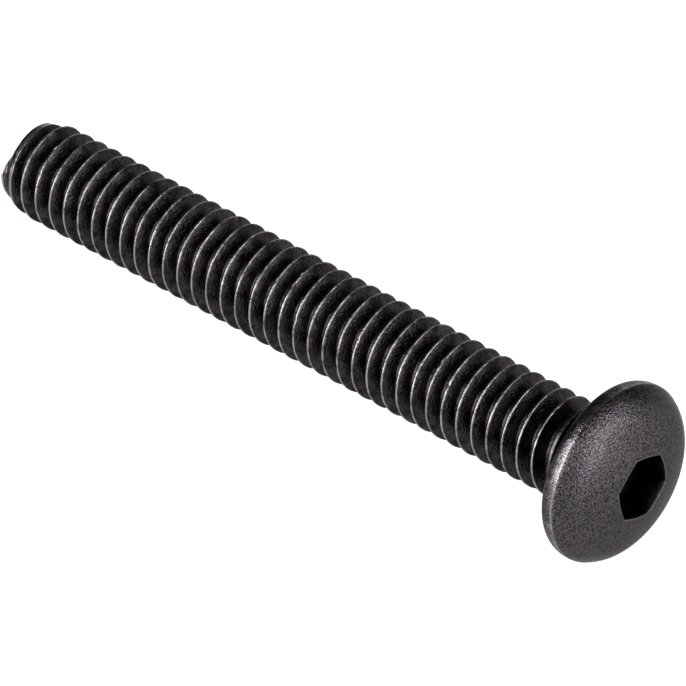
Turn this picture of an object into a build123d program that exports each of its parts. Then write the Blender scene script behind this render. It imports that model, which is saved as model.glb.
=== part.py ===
from build123d import *

# Button head socket screw, #8-32 x 1-1/4 in, lying at rest as it would on a bench.
#
# Millimetres, +Z up. The origin is the centre of the bearing face under the head. The screw
# lies along X with its head towards +X. It rests on the rim of its head and on the end of its
# shank, so its axis climbs towards the head by a few degrees.

import os
from math import asin, atan2, cos, degrees, hypot, radians, sin, tan

# Shank, from the bearing face to the end of the screw. The length is the nominal 31.75 within the
# tolerance of this kind of screw, which is 1.0 under and nothing over.
shank_diameter = 4.13
shank_length = 31.40
neck_diameter = 3.62
neck_length = 1.10
neck_fillet = 0.32
runout_length = 0.40
point_length = 1.00
point_diameter = 3.10

# Head: a straight rim, rounded on its bearing side, below a dome of two arcs
head_diameter = 7.62
head_height = 2.20
rim_height = 0.68
rim_round = 0.30
crown_radius = 7.60
crown_diameter = 5.70

# Hexagon socket, broached into a drilled hole
socket_across_flats = 2.40
socket_depth = 1.40
socket_chamfer = 0.03
socket_turn = 40.6
drill_diameter = 2.30
drill_point_angle = 118.0

# The lie of the screw. The rim's rounded edge and the last full width of the shank touch the
# same level, which sets the angle between the screw's axis and that level.
contact_span = shank_length - point_length + rim_round
contact_drop = head_diameter / 2 - rim_round - shank_diameter / 2
lie_angle = degrees(
    atan2(contact_drop, contact_span) + asin(rim_round / hypot(contact_span, contact_drop))
)

# Profiles are drawn on this plane: x runs along the screw from the bearing face to the crown,
# and y is the radius, pointing sideways.
along_screw = Vector(cos(radians(lie_angle)), 0, sin(radians(lie_angle)))
across_screw = Vector(-sin(radians(lie_angle)), 0, cos(radians(lie_angle)))
profile_plane = Plane(origin=(0, 0, 0), x_dir=along_screw, z_dir=across_screw)
screw_axis = Axis((0, 0, 0), along_screw)
crown_plane = Plane(origin=along_screw * head_height, x_dir=(0, 1, 0), z_dir=along_screw)

head_radius = head_diameter / 2
neck_radius = neck_diameter / 2
shank_radius = shank_diameter / 2
point_radius = point_diameter / 2
socket_floor = head_height - socket_depth
drill_radius = drill_diameter / 2
drill_point_length = drill_radius / tan(radians(drill_point_angle / 2))

with BuildPart() as button_head_screw:
    # Head, neck, shank and point are turned from one profile.
    with BuildSketch(profile_plane):
        with BuildLine():
            crown = CenterArc(
                (head_height - crown_radius, 0),
                crown_radius,
                0,
                degrees(asin(crown_diameter / 2 / crown_radius)),
            )
            TangentArc(crown @ 1, (rim_height, head_radius), tangent=crown % 1)
            underside = FilletPolyline(
                (rim_height, head_radius),
                (0, head_radius),
                (0, neck_radius),
                (-neck_length, neck_radius),
                radius=(rim_round, neck_fillet),
            )
            Polyline(
                underside @ 1,
                (-neck_length - runout_length, shank_radius),
                (point_length - shank_length, shank_radius),
                (-shank_length, point_radius),
                (-shank_length, 0),
                crown @ 0,
            )
        make_face()
    revolve(axis=screw_axis)

    # The socket starts as a drilled hole, whose point is left below the broached hexagon.
    with BuildSketch(profile_plane):
        with BuildLine():
            Polyline(
                (socket_floor, 0),
                (socket_floor, drill_radius),
                (socket_floor - drill_point_length, 0),
                close=True,
            )
        make_face()
    revolve(axis=screw_axis, mode=Mode.SUBTRACT)

    with BuildSketch(crown_plane):
        RegularPolygon(socket_across_flats / 2, 6, major_radius=False, rotation=socket_turn)
    extrude(amount=-socket_depth, mode=Mode.SUBTRACT)

    # The flats of the hexagon have a light chamfer where they break through the crown, along
    # their only curved edges.
    socket_planes = button_head_screw.faces(Select.LAST).filter_by(GeomType.PLANE)
    socket_flats = socket_planes.filter_by(screw_axis, reverse=True)
    chamfer(socket_flats.edges().filter_by(GeomType.LINE, reverse=True), socket_chamfer)

button_head_screw.part.label = "button_head_screw"

os.makedirs("parts", exist_ok=True)
export_step(button_head_screw.part, "parts/button_head_screw.step")
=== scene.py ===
import bpy
import numpy as np
from mathutils import Matrix, Vector


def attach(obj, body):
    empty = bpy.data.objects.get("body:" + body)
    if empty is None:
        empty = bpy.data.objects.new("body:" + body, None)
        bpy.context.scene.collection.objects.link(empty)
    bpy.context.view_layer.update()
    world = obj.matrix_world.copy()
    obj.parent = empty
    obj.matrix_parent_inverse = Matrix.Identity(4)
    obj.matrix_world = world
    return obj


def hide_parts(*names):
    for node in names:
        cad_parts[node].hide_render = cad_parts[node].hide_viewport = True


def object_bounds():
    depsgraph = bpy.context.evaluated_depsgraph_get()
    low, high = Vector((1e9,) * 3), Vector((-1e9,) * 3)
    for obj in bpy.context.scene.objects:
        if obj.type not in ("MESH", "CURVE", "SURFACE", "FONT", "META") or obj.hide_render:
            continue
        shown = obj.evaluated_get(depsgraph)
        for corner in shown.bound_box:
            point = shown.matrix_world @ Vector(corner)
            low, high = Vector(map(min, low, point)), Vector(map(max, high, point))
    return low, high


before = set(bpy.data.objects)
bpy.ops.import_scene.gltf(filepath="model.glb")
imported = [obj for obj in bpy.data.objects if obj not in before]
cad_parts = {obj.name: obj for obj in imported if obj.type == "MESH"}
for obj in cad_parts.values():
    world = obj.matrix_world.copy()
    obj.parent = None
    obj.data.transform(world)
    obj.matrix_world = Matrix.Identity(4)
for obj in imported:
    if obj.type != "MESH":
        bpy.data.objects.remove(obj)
cad_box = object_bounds()


# ---- The camera ------------------------------------------------------------------------------
# A long lens that looks down on the screw from the head's side, so that the dome, the rim and
# the whole length of the thread are seen. It is placed by the centre of the bearing face, which
# is the origin.
azimuth, elevation = np.radians([42.632, 40.103])
focal_length, sensor_width = 480.2, 36.0
nearest_seen = 0.01
# The origin as the lens has it: metres to the right, below and ahead.
origin_right, origin_below, origin_ahead = 0.010125, 0.004808, 0.35661

back = Vector((
    np.sin(azimuth) * np.cos(elevation),
    -np.cos(azimuth) * np.cos(elevation),
    np.sin(elevation),
))
right = Vector((np.cos(azimuth), np.sin(azimuth), 0.0))
up = back.cross(right)
lens = bpy.data.cameras.new("camera")
lens.lens = focal_length
lens.sensor_width = sensor_width
lens.clip_start = nearest_seen
camera = bpy.data.objects.new("camera", lens)
camera.matrix_world = Matrix.Translation(
    back * origin_ahead - right * origin_right + up * origin_below
) @ Matrix((right, up, back)).transposed().to_4x4()
bpy.context.scene.collection.objects.link(camera)
bpy.context.scene.camera = camera
bpy.context.scene.view_settings.view_transform = "Standard"


# ---- The screw -------------------------------------------------------------------------------
# A #8-32 x 1-1/4 in button head screw, one piece of alloy steel. The head is struck from the
# wire in a die and its socket broached, the thread is rolled between flat dies, and the whole
# is hardened and blackened. Sizes are millimetres, and heights are from the bearing face.

# The screw lies on the rim of its head and on the end of its shank, so that its axis climbs
# towards the head by this angle.
lie = np.radians(3.2541)
axis = np.array([np.cos(lie), 0.0, np.sin(lie)])
side = np.array([0.0, 1.0, 0.0])
over = np.array([-np.sin(lie), 0.0, np.cos(lie)])

# One column of points for each 3 degrees round the axis, with one on each socket corner.
columns = 120
socket_turn = 40.6
turn = np.arange(columns) / columns
angle = np.radians(socket_turn) + 2 * np.pi * turn


def at(height, radius, around):
    """Point at a height along the axis and a radius from it, turned around it from the side."""
    return (
        height[..., None] * axis
        + (radius * np.cos(around))[..., None] * side
        + (radius * np.sin(around))[..., None] * over
    )


def fan(centre, radius, start, end, steps):
    """Rows on an arc: centre plus radius times the cosine (outward) and the sine (upward)."""
    swing = np.radians(np.linspace(start, end, steps))
    return [(centre[0] + radius * np.cos(a), centre[1] + radius * np.sin(a)) for a in swing]


# The head's surface is a list of rows, each a radius and a height for every column. It goes
# from the bottom of the socket out over the dome and in again under the rim to the neck.
head_height = 2.20
crown_radius = 7.60


def crown(radius):
    """Height of the dome over the bearing face: a circle of crown_radius centred on the axis."""
    return head_height - crown_radius + np.sqrt(crown_radius**2 - radius**2)


# The socket is drilled, with the drill's cone left below its floor, and broached to a hexagon.
# A column's flat is reached at the flat's distance divided by the cosine of its turn from it.
socket_flat, socket_depth = 1.215, 1.40
drill_radius, drill_half_angle = 1.15, np.radians(59.0)
socket_floor = head_height - socket_depth
drill_tip = socket_floor - drill_radius / np.tan(drill_half_angle)
from_flat = (angle - np.radians(socket_turn)) % (np.pi / 3) - np.pi / 6
hexagon = socket_flat / np.cos(from_flat)

# A short steep lead opens the mouth for the key: its flats bulge out to mouth_radius and the
# corners open a little. A quarter circle carries it over on to the dome.
mouth_radius, mouth_bulge, mouth_round, lead_depth = 1.345, 0.79, 0.03, 0.25
mouth = mouth_radius / np.cos(mouth_bulge * from_flat)
lead_top = crown(mouth - mouth_round) - mouth_round
lead_foot = lead_top - lead_depth

rows = []
for share in (0.25, 0.5, 0.75, 1.0):
    rows.append((drill_radius * share,
                 socket_floor - drill_radius * (1 - share) / np.tan(drill_half_angle)))
for share in (0.5, 1.0):
    rows.append((drill_radius + (hexagon - drill_radius) * share, socket_floor))
for share in (0.04, 0.3, 0.6, 1.0):
    rows.append((hexagon, socket_floor + (lead_foot - socket_floor) * share))
for share in (0.35, 0.7):
    rows.append((hexagon + (mouth - mouth_round - hexagon) * share,
                 lead_foot + lead_depth * share))
for swing in np.radians([0, 14, 36, 63, 90]):
    out = mouth - mouth_round * np.cos(swing)
    rows.append((out, crown(out) - mouth_round * (1 - np.sin(swing))))

# The rows on the crown go from the mouth's outline to a true circle, and on in even steps.
first_circle, crown_edge, crown_rows = 1.95, 2.85, 9
for share in (0.08, 0.25, 0.5, 0.75, 1.0):
    out = mouth * (1 - share) + first_circle * share
    rows.append((out, crown(out)))
for out in np.linspace(first_circle, crown_edge, crown_rows)[1:]:
    rows.append((out, crown(out)))

# The shoulder's arc leaves the crown's arc without a corner and ends short of the rim's edge,
# which is left with the small round that the die gives it.
head_radius, rim_height = 3.804, 0.68
shoulder_share, shoulder_rows = 0.97, 15
slope = np.degrees(np.arcsin(crown_edge / crown_radius))
reach = head_radius - crown_edge
fall = crown(crown_edge) - rim_height
bend = 2 * (np.degrees(np.arctan2(fall, reach)) - slope)
shoulder_radius = np.hypot(reach, fall) / 2 / np.sin(np.radians(bend / 2))
shoulder_centre = (
    crown_edge - shoulder_radius * np.sin(np.radians(slope)),
    crown(crown_edge) - shoulder_radius * np.cos(np.radians(slope)),
)
rows += fan(shoulder_centre, shoulder_radius, 90 - slope, 90 - slope - bend * shoulder_share,
            shoulder_rows)[1:]
rows += [(head_radius - 0.014, rim_height + 0.012), (head_radius - 0.008, rim_height - 0.008)]

# The rim bulges from that edge down to the bearing face, on a quarter of an ellipse. The
# bearing face is flat, and a fillet joins it to the neck, which is the bare blank.
rim_middle, rim_round = 0.55, 0.28
blank_radius, neck_fillet = 1.81, 0.32
fillet_rows, neck_foot = 8, neck_fillet + 0.04
for swing in np.radians([-12, -6, 0, 8, 16, 24, 32, 40, 48, 56, 64, 72, 80, 90]):
    rows.append((head_radius - rim_round * (1 - np.cos(swing)),
                 rim_middle - rim_middle * np.sin(swing)))
rows += [(out, 0.0) for out in (3.2, 2.8, 2.4)]
rows += fan((blank_radius + neck_fillet, -neck_fillet), neck_fillet, 90, 180, fillet_rows)
rows += [(blank_radius, -neck_foot)]
head_radii = np.array([np.broadcast_to(r, columns) for r, h in rows])
head_heights = np.array([np.broadcast_to(h, columns) for r, h in rows])
head_points = at(head_heights, head_radii, angle)

# One pitch of the thread: how far down the shank from the crest's middle, and how far below it.
# The flanks are 60 degrees apart, and both the root and the crest are round.
pitch = 25.4 / 32
major_radius, thread_depth = 2.065, 0.487
flank = np.tan(np.radians(60))
profile_along = np.array([
    0.000, 0.010, 0.023, 0.040, 0.060, 0.187, 0.310, 0.336,
    0.397, 0.458, 0.484, 0.607, 0.668, 0.698, 0.722, 0.742, 0.762, 0.778,
])
profile_below = np.array([
    0.001, 0.005, 0.014, 0.027, 0.046, 0.235, 0.448, 0.481,
    0.487, 0.481, 0.448, 0.235, 0.130, 0.080, 0.041, 0.015, 0.002, 0.000,
])
steps = len(profile_along)

# The profile is carried down a right-hand helix: a column's steps follow one another down the
# shank, a pitch to a lap, and each column starts a little higher than the one before it. The
# helix is placed by one point of its crest, so far round and so far down.
shank_length = 31.40
crest_round, crest_down = 132.55, 0.43
spare_laps = 4
lead = crest_down + pitch * ((crest_round - socket_turn) / 360)
number = np.arange(-2 * steps, (int(shank_length / pitch) + spare_laps) * steps)
lap, step = number // steps, number % steps
below_face = lead + pitch * lap[None, :] + profile_along[step][None, :] - pitch * turn[:, None]

# Rolled crests are never quite even: a smoothed random depth along the helix, and a few nicks.
# Both fade out a little way below the crest.
rng = np.random.default_rng(8)
helix = lap[None, :] * columns - np.arange(columns)[:, None] + spare_laps * columns
length = helix.max() + 1


def unevenness(width, count):
    """Random depths along the helix, averaged over a width of columns, between about -1 and 1."""
    raw = rng.standard_normal(count + width)
    return np.convolve(raw, np.ones(width) / np.sqrt(width), "same")[:count]


wander_depth, most_wander = 0.004, 0.02
nick_count, nick_length, nick_depths = 60, 2, (0.02, 0.05)
crest_reach = 0.022
wander = wander_depth * unevenness(3, length) + wander_depth * unevenness(9, length)
nicks = np.zeros(length)
for place in rng.integers(0, length, nick_count):
    nicks[place:place + nick_length] = rng.uniform(*nick_depths)
on_crest = np.exp(-(profile_below / crest_reach) ** 2)
depth = profile_below[step][None, :] + on_crest[step] * (
    np.clip(np.abs(wander[helix]), 0, most_wander) + nicks[helix]
)

# The crests at both ends are cut off by a slope: behind the neck, where the dies are eased, and
# at the tip, where the wire was pointed. A cut lowers each row of the profile by its share of
# the cut and moves it out along its flank, so that the crest is left flat with round shoulders.
slope_places, slope_radii = [1.25, 1.75, 30.05, 31.20], [1.997, 2.065, 2.065, 1.697]
crest_half_width = 0.06
last_crest, last_crest_blend = 30.90, 0.15
crest_place = lead + pitch * np.round((below_face - lead) / pitch + turn[:, None])
crest_place = crest_place - pitch * turn[:, None]
tipward = np.sign(below_face - crest_place)
uncut_radius = np.interp(below_face + crest_half_width * tipward, slope_places, slope_radii)
pointed = np.clip((crest_place - last_crest) / last_crest_blend, 0, 1)
cut = (major_radius - uncut_radius) * (1 - pointed)
share = np.clip(1 - depth / thread_depth, 0, 1)
below_face = below_face + tipward * cut * share / flank
depth = depth + cut * share

# The thread grows out of the blank behind the neck, on a curve that starts and ends level.
thread_start, thread_full = 0.50, 1.15
grown = np.clip((below_face - thread_start) / (thread_full - thread_start), 0, 1)
grown = grown * grown * (3 - 2 * grown)
thread_radius = blank_radius + grown * (major_radius - depth - blank_radius)

# On the last half turn each crest stands lower than the one before it, and the root falls too.
# The crest sharpens as it goes and runs out just before the faced end.
point_start = 29.8
sharpening_length = 0.3
run_out_length, run_out_end = 0.09, 31.39
crest_line = np.interp(
    crest_place,
    [30.80, 31.00, 31.20, 31.30, 31.34, 31.40],
    [1.850, 1.780, 1.680, 1.570, 1.330, 0.980],
)
root_line = np.interp(below_face, [30.90, 31.20, 31.30, 31.40], [1.578, 1.28, 1.14, 0.94])
sharpness = 1 + np.clip((below_face - last_crest) / sharpening_length, 0, 1)
running_out = np.clip((run_out_end - crest_place) / run_out_length, 0, 1)
low_crest = root_line + share**sharpness * running_out * (crest_line - root_line)
flat_crest = root_line + thread_depth - depth
tip_radius = pointed * low_crest + (1 - pointed) * flat_crest
on_point = below_face > point_start
thread_radius = np.where(on_point, np.minimum(tip_radius, thread_radius), thread_radius)

# The point's rows: the thread's own section at the end, rounded over and faced off flat.
end = shank_length - 0.02
end_radius = np.array([
    np.interp(end, below_face[i], thread_radius[i]) for i in range(columns)
])
point_rows = [
    (end_radius, end),
    (end_radius - 0.008, end + 0.013),
    (end_radius - 0.030, end + 0.020),
    (end_radius * 0.85, end + 0.012),
    (end_radius * 0.6, end + 0.004),
    (end_radius * 0.3, end),
]
point_points = at(
    -np.array([np.broadcast_to(h, columns) for r, h in point_rows]),
    np.array([np.broadcast_to(r, columns) for r, h in point_rows]),
    angle,
)

# The thread's grid follows the helix. Above its first row it closes on the neck, and past its
# last row on the point; those places take the number of the ring that they close on. Points are
# numbered from the drill's tip over the head, the thread and the point to the middle of the end.
closing_gap = 0.008
thread_top = neck_foot + closing_gap
inside = (below_face > thread_top) & (below_face < end - closing_gap)
head_count, point_count = len(rows) * columns, len(point_rows) * columns
neck_ring = 1 + head_count - columns + np.arange(columns)
thread_first = 1 + head_count
point_first = thread_first + int(inside.sum())
end_middle = point_first + point_count
index = np.where(below_face <= thread_top, neck_ring[:, None],
                 point_first + np.arange(columns)[:, None])
index[inside] = thread_first + np.arange(inside.sum())
# Beside the last column comes the first one again, with its rows counted a lap on.
closing = np.full(len(number), neck_ring[0])
closing[steps:] = index[0, :-steps]
beside = np.vstack([index[1:], closing])


def skin(near, far, near_next, far_next):
    """Quads between two rows and two columns; where a side has no length it is a triangle."""
    quads = np.stack([near, far, far_next, near_next], -1).reshape(-1, 4)
    first = quads[:, 0] == quads[:, 1]
    second = quads[:, 2] == quads[:, 3]
    return (
        quads[~first & ~second],
        np.vstack([quads[first & ~second][:, 1:], quads[second & ~first][:, :3]]),
    )


def rings(begin, count):
    """Quads between rows of columns that follow one another from a first point number."""
    grid = begin + np.arange(count * columns).reshape(count, columns)
    onward = np.roll(grid, -1, axis=1)
    return skin(grid[:-1], grid[1:], onward[:-1], onward[1:])[0]


def cap(pole, begin, outward):
    """Triangles from a pole to the ring that begins at a point number."""
    ring = begin + np.arange(columns)
    ahead = np.roll(ring, -1)
    ends = (ahead, ring) if outward else (ring, ahead)
    return np.stack([np.full(columns, pole), *ends], -1)


thread_quads, thread_triangles = skin(index[:, :-1], index[:, 1:], beside[:, :-1], beside[:, 1:])
quads = np.vstack([rings(1, len(rows)), thread_quads, rings(point_first, len(point_rows))])
triangles = np.vstack([
    cap(0, 1, False),
    thread_triangles,
    cap(end_middle, end_middle - columns, True),
])
millimetre = 0.001
points = np.vstack([
    drill_tip * axis,
    head_points.reshape(-1, 3),
    at(-below_face, thread_radius, angle[:, None])[inside],
    point_points.reshape(-1, 3),
    -end * axis,
]) * millimetre

sharp_edge = np.radians(42)
mesh = bpy.data.meshes.new("screw")
mesh.from_pydata(points.tolist(), [], quads.tolist() + triangles.tolist())
mesh.polygons.foreach_set("use_smooth", np.ones(len(mesh.polygons), bool))
mesh.set_sharp_from_angle(angle=sharp_edge)


def mark(name, first, values):
    """Keeps a value for each point: these from a first point number on, and nought elsewhere."""
    marks = np.zeros(len(points))
    marks[first:first + values.size] = values.reshape(-1)
    mesh.attributes.new(name, "FLOAT", "POINT").data.foreach_set("value", marks)


# The crests are rubbed bare, a little wider on the head's side than on the tip's; that extra
# width is a painted highlight where the side light falls on the head's shoulder. The first
# crest, beside the neck, is hardly touched, and the little steel it has is a painted highlight.
# Where the point was cut the oxide stays.
headward_rub_and_sheen, tipward_rub = 0.040, 0.018
first_crest, full_rub_after, first_crest_sheen = 1.10, 0.55, 0.56
deepest_rubbed_cut = 0.08
rub_and_sheen_width = np.where(profile_along > pitch / 2, headward_rub_and_sheen, tipward_rub)
rub_and_sheen = np.exp(-(profile_below / rub_and_sheen_width) ** 2)
rub_and_sheen_ramp = np.clip((crest_place - first_crest) / full_rub_after, first_crest_sheen, 1)
left_by_cut = 1 - np.clip(cut / deepest_rubbed_cut, 0, 1)
crest_rub_and_sheen = rub_and_sheen[step][None, :] * rub_and_sheen_ramp * np.where((tipward > 0) & on_point, left_by_cut, 1)
mark("crest", thread_first, crest_rub_and_sheen[inside])

# The rim shows steel most at its upper edge, less and less towards the bearing face, and not at
# all a hair above the edge: partly wear, and partly a painted highlight where the key light
# streaks along that upper edge.
rim_foot, rim_inside, edge_fade = 0.10, 3.45, 0.05
rim_rub_and_sheen = np.clip((head_heights - rim_foot) / (rim_height - rim_foot), 0, 1)
rim_rub_and_sheen = rim_rub_and_sheen * (head_radii > rim_inside)
rim_rub_and_sheen = rim_rub_and_sheen * np.clip((rim_height + edge_fade - head_heights) / edge_fade, 0, 1)
mark("rim", 1, rim_rub_and_sheen)

# The socket's mouth is worn on its round. Inside, painted shade darkens the oxide towards near
# black: partly on the walls, more on the lead and fully on the floor and the drill's cone.
wall_shade, lead_shade, floor_shade = 0.45, 0.81, 1.0
mouth_rub_width, hair = 0.02, 0.01
mouth_middle = mouth - mouth_round / 2
over_bearing_face = head_heights > 0
mouth_rub = np.exp(-((head_radii - mouth_middle) / mouth_rub_width) ** 2) * over_bearing_face
mark("mouth", 1, mouth_rub)
socket_shade = np.where(head_heights > socket_floor + hair, wall_shade, floor_shade)
socket_shade = np.where(head_heights > lead_foot + hair, lead_shade, socket_shade)
socket_shade = socket_shade * (head_radii < mouth_middle) * over_bearing_face
# The socket's share of painted shade is kept as its mark.
mark("socket", 0, np.append(floor_shade, socket_shade))

# The dome has the grain of the die that struck it, and the faced end has a trace of steel.
dome_foot = rim_height + 0.02
facing_start, facing_fade = 31.0, 0.2
mark("dome", 1, (head_heights > dome_foot) & (head_radii > mouth_middle))
faced = np.clip((below_face[inside] - facing_start) / facing_fade, 0, 1)
mark("point", thread_first, np.append(faced, np.ones(point_count + 1)))
mesh.update()
screw = bpy.data.objects.new("screw", mesh)
bpy.context.scene.collection.objects.link(screw)


class Reading:
    """A value from a node's output. Sums and products of readings add Math nodes."""

    def __init__(self, finish, socket):
        self.finish, self.socket = finish, socket

    def math(self, operation, first, second):
        return self.finish.add("ShaderNodeMath", {"operation": operation}, {0: first, 1: second})

    def __add__(self, other):
        return self.math("ADD", self, other)

    def __radd__(self, other):
        return self.math("ADD", other, self)

    def __sub__(self, other):
        return self.math("SUBTRACT", self, other)

    def __rsub__(self, other):
        return self.math("SUBTRACT", other, self)

    def __mul__(self, other):
        return self.math("MULTIPLY", self, other)

    def __rmul__(self, other):
        return self.math("MULTIPLY", other, self)

    def clipped(self):
        return self.math("MINIMUM", self.math("MAXIMUM", self, 0.0), 1.0)


class Finish:
    """A node tree under construction. `add` makes any node and gives one of its outputs."""

    def __init__(self, tree):
        self.nodes, self.links = tree.nodes, tree.links
        self.nodes.clear()

    def add(self, kind, settings=None, values=None, output=0):
        node = self.nodes.new(kind)
        for name, setting in (settings or {}).items():
            setattr(node, name, setting)
        for name, value in (values or {}).items():
            if isinstance(value, Reading):
                self.links.new(value.socket, node.inputs[name])
            else:
                node.inputs[name].default_value = value
        return Reading(self, node.outputs[output] if node.outputs else None)

    def mix(self, share, first, second):
        """Mixes two colours by a share; a Mix node has its colours at 6 and 7, and out at 2."""
        return self.add("ShaderNodeMix", {"data_type": "RGBA"},
                        {"Factor": share, 6: first, 7: second}, 2)

    def kept(self, name):
        """A value that was kept for each point of the mesh."""
        return self.add("ShaderNodeAttribute", {"attribute_name": name}, output="Fac")

    def noise(self, place, scale, detail, roughness=0.5):
        """Cloudy noise of so many spots to a metre, with finer and finer detail."""
        return self.add("ShaderNodeTexNoise", {}, {
            "Vector": place, "Scale": scale, "Detail": detail, "Roughness": roughness,
        })


def grey(level):
    """A plain grey."""
    return (level, level, level, 1.0)


# Black oxide over steel. On the thread and under the head it is mottled, on the dome it lies in
# the pits of a fine struck grain, and it is gone where the screw was rubbed. Bare steel also
# stands as painted highlight on the crests and the rim, and painted shade blackens the socket.
thick_oxide, thin_oxide = (0.013, 0.012, 0.0125, 1.0), (0.052, 0.046, 0.049, 1.0)
pit_black = (0.020, 0.018, 0.0195, 1.0)
warm_grain, cool_grain = (0.108, 0.093, 0.097, 1.0), (0.100, 0.093, 0.105, 1.0)
# Near black painted into the socket as its shade.
painted_socket_shade = (0.003, 0.0028, 0.003, 1.0)
dull_steel, bright_steel = (0.22, 0.204, 0.217, 1.0), (0.42, 0.39, 0.415, 1.0)
grain_spots, speckle_spots, tint_spots, cloud_spots = 14000.0, 11000.0, 6000.0, 2200.0

black_oxide = bpy.data.materials.new("black_oxide")
black_oxide.use_nodes = True
black = Finish(black_oxide.node_tree)
place = black.add("ShaderNodeTexCoord", output="Object")
crest = black.kept("crest")
rim_wear_and_sheen = black.kept("rim")
mouth_worn = black.kept("mouth")
on_end = black.kept("point")
socket_shade_share = black.kept("socket")
on_crown = black.kept("dome")
grain = black.noise(place, grain_spots, 1.0)
speckle = black.noise(place, speckle_spots, 2.0, 0.6)
cloud = black.noise(place, cloud_spots, 3.0, 0.6)
tint = black.noise(place, tint_spots, 0.0)

# The oxide.
mottle = ((speckle - 0.5) * 2.5 + (cloud - 0.5) * 3 + 0.45).clipped()
oxide = black.mix(mottle, thick_oxide, thin_oxide)
tinge = black.mix(((tint - 0.5) * 3 + 0.5).clipped(), warm_grain, cool_grain)
struck = black.mix(((grain - 0.5) * 3.5 + 0.5).clipped(), pit_black, tinge)
dark = black.mix(on_crown, oxide, struck)
# Painted shade: inside the socket the colour goes towards near black by its share.
dark = black.mix(socket_shade_share, dark, painted_socket_shade)

# The bare steel: the crests, the rim's land and its edge, the faced end and the socket's mouth.
# Each starts where its share is more than its least, and shows as much steel as its share; on
# the crests and the rim that share is partly wear and partly painted highlight.
least_crest_share, least_edge_share, least_cloud = 0.45, 0.78, 0.25
land_share, end_share, mouth_share = 0.75, 0.7, 0.36
# Crest steel: wear, plus painted highlight on the head's side and on the first crest.
crest_steel_and_sheen = ((crest - least_crest_share) * 2.0 * ((cloud - 0.5) * 3 + speckle + 0.5)).clipped()
# The rim's land and edge steel is partly wear and partly a painted highlight along its upper edge.
land_steel_and_sheen = (((grain - 0.5) * 3 + (cloud - 0.5) * 2 + 0.6) * rim_wear_and_sheen).clipped()
edge_steel_and_sheen = ((rim_wear_and_sheen - least_edge_share) * 6).clipped()
steel = black.mix(cloud, dull_steel, bright_steel)
colour = black.mix(crest_steel_and_sheen, dark, steel)
colour = black.mix(land_steel_and_sheen * land_share, colour, steel)
colour = black.mix(edge_steel_and_sheen * (0.25 + grain * 0.6), colour, steel)
colour = black.mix(on_end * (cloud - least_cloud).clipped() * end_share, colour, steel)
colour = black.mix(mouth_worn * mouth_share, colour, steel)

# The oxide is satin, a little duller on the dome and in the socket. The dome's relief is all
# grain, and elsewhere it is grain and slow unevenness alike.
satin = 0.25
relief = 0.00003
rough = satin + 0.04 * on_crown + 0.12 * socket_shade_share + 0.06 * (cloud - 0.5)
height = grain * (0.6 + 0.4 * on_crown) + cloud * (0.6 - 0.6 * on_crown)
bump = black.add("ShaderNodeBump", {}, {"Strength": 1.0, "Distance": relief, "Height": height})
shader = black.add("ShaderNodeBsdfPrincipled", {}, {
    "Base Color": colour,
    "Metallic": 1.0,
    "Roughness": rough,
    "Specular Tint": grey(0.6),
    "Normal": bump,
})
black.add("ShaderNodeOutputMaterial", {}, {"Surface": shader})
mesh.materials.append(black_oxide)

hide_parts("button_head_screw")
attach(screw, "root")


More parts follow.
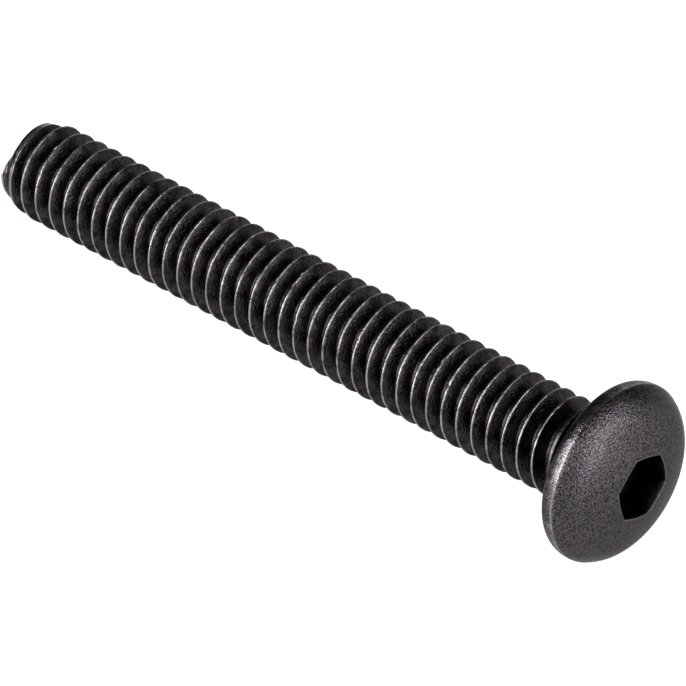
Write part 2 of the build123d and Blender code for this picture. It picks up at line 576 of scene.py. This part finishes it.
# ---- The floor -------------------------------------------------------------------------------
# A plain pale table top, flat and matt, that the screw lies on. The camera sees it as white,
# with the screw's own soft shadow left on it, and the metal sees it a little dimmer.
floor_height, floor_half = cad_box[0].z, 3.0
table_grey = 0.55
seen_glow, mirrored_glow = 0.80, 0.40
corners = ((-1, -1), (1, -1), (1, 1), (-1, 1))
floor_mesh = bpy.data.meshes.new("floor")
floor_mesh.from_pydata(
    [(x * floor_half, y * floor_half, floor_height) for x, y in corners], [], [(0, 1, 2, 3)],
)
floor = bpy.data.objects.new("floor", floor_mesh)
bpy.context.scene.collection.objects.link(floor)
pale_floor = bpy.data.materials.new("pale_floor")
pale_floor.use_nodes = True
pale = Finish(pale_floor.node_tree)
seen = pale.add("ShaderNodeLightPath", output="Is Camera Ray")
mirrored = pale.add("ShaderNodeLightPath", output="Is Glossy Ray")
matt = pale.add("ShaderNodeBsdfDiffuse", {}, {"Color": grey(table_grey)})
glow = pale.add("ShaderNodeEmission", {}, {
    "Color": grey(1.0), "Strength": seen * seen_glow + mirrored * mirrored_glow,
})
both = pale.add("ShaderNodeAddShader", {}, {0: matt, 1: glow})
pale.add("ShaderNodeOutputMaterial", {}, {"Surface": both})
floor_mesh.materials.append(pale_floor)


# ---- The light -------------------------------------------------------------------------------
# A room that is white to the lens and dim to the screw, with four soft boxes: two broad ones
# in front and on the head's side, a small one behind on the tip's side and a low strip behind.
room_level = 0.10
room = bpy.data.worlds.new("room")
bpy.context.scene.world = room
room.use_nodes = True
sky = Finish(room.node_tree)
lens_ray = sky.add("ShaderNodeLightPath", output="Is Camera Ray")
air = sky.add("ShaderNodeBackground", {}, {
    "Color": grey(1.0), "Strength": lens_ray * (1 - room_level) + room_level,
})
sky.add("ShaderNodeOutputWorld", {}, {"Surface": air})

lamp_distance = 0.5
screw_middle = Vector((-0.013, 0.0, 0.0))


def soft_box(name, azimuth, elevation, width, height, level):
    """A lamp that faces the screw: its angles and spans in degrees, and how bright its face is."""
    lamp = bpy.data.lights.new(name, "AREA")
    lamp.shape = "RECTANGLE"
    lamp.size = 2 * lamp_distance * np.tan(np.radians(width / 2))
    lamp.size_y = 2 * lamp_distance * np.tan(np.radians(height / 2))
    lamp.energy = level * np.pi * lamp.size * lamp.size_y
    box = bpy.data.objects.new(name, lamp)
    turned, raised = np.radians([azimuth, elevation])
    towards = Vector((
        np.sin(turned) * np.cos(raised), -np.cos(turned) * np.cos(raised), np.sin(raised),
    ))
    box.location = screw_middle + towards * lamp_distance
    box.rotation_euler = towards.to_track_quat("Z", "Y").to_euler()
    bpy.context.scene.collection.objects.link(box)


soft_box("key_light", azimuth=-20, elevation=28, width=64, height=46, level=4.1)
soft_box("side_light", azimuth=92, elevation=30, width=68, height=62, level=3.5)
soft_box("back_left_light", azimuth=-149, elevation=14, width=18, height=28, level=0.9)
soft_box("back_light", azimuth=165, elevation=6, width=50, height=10, level=0.6)
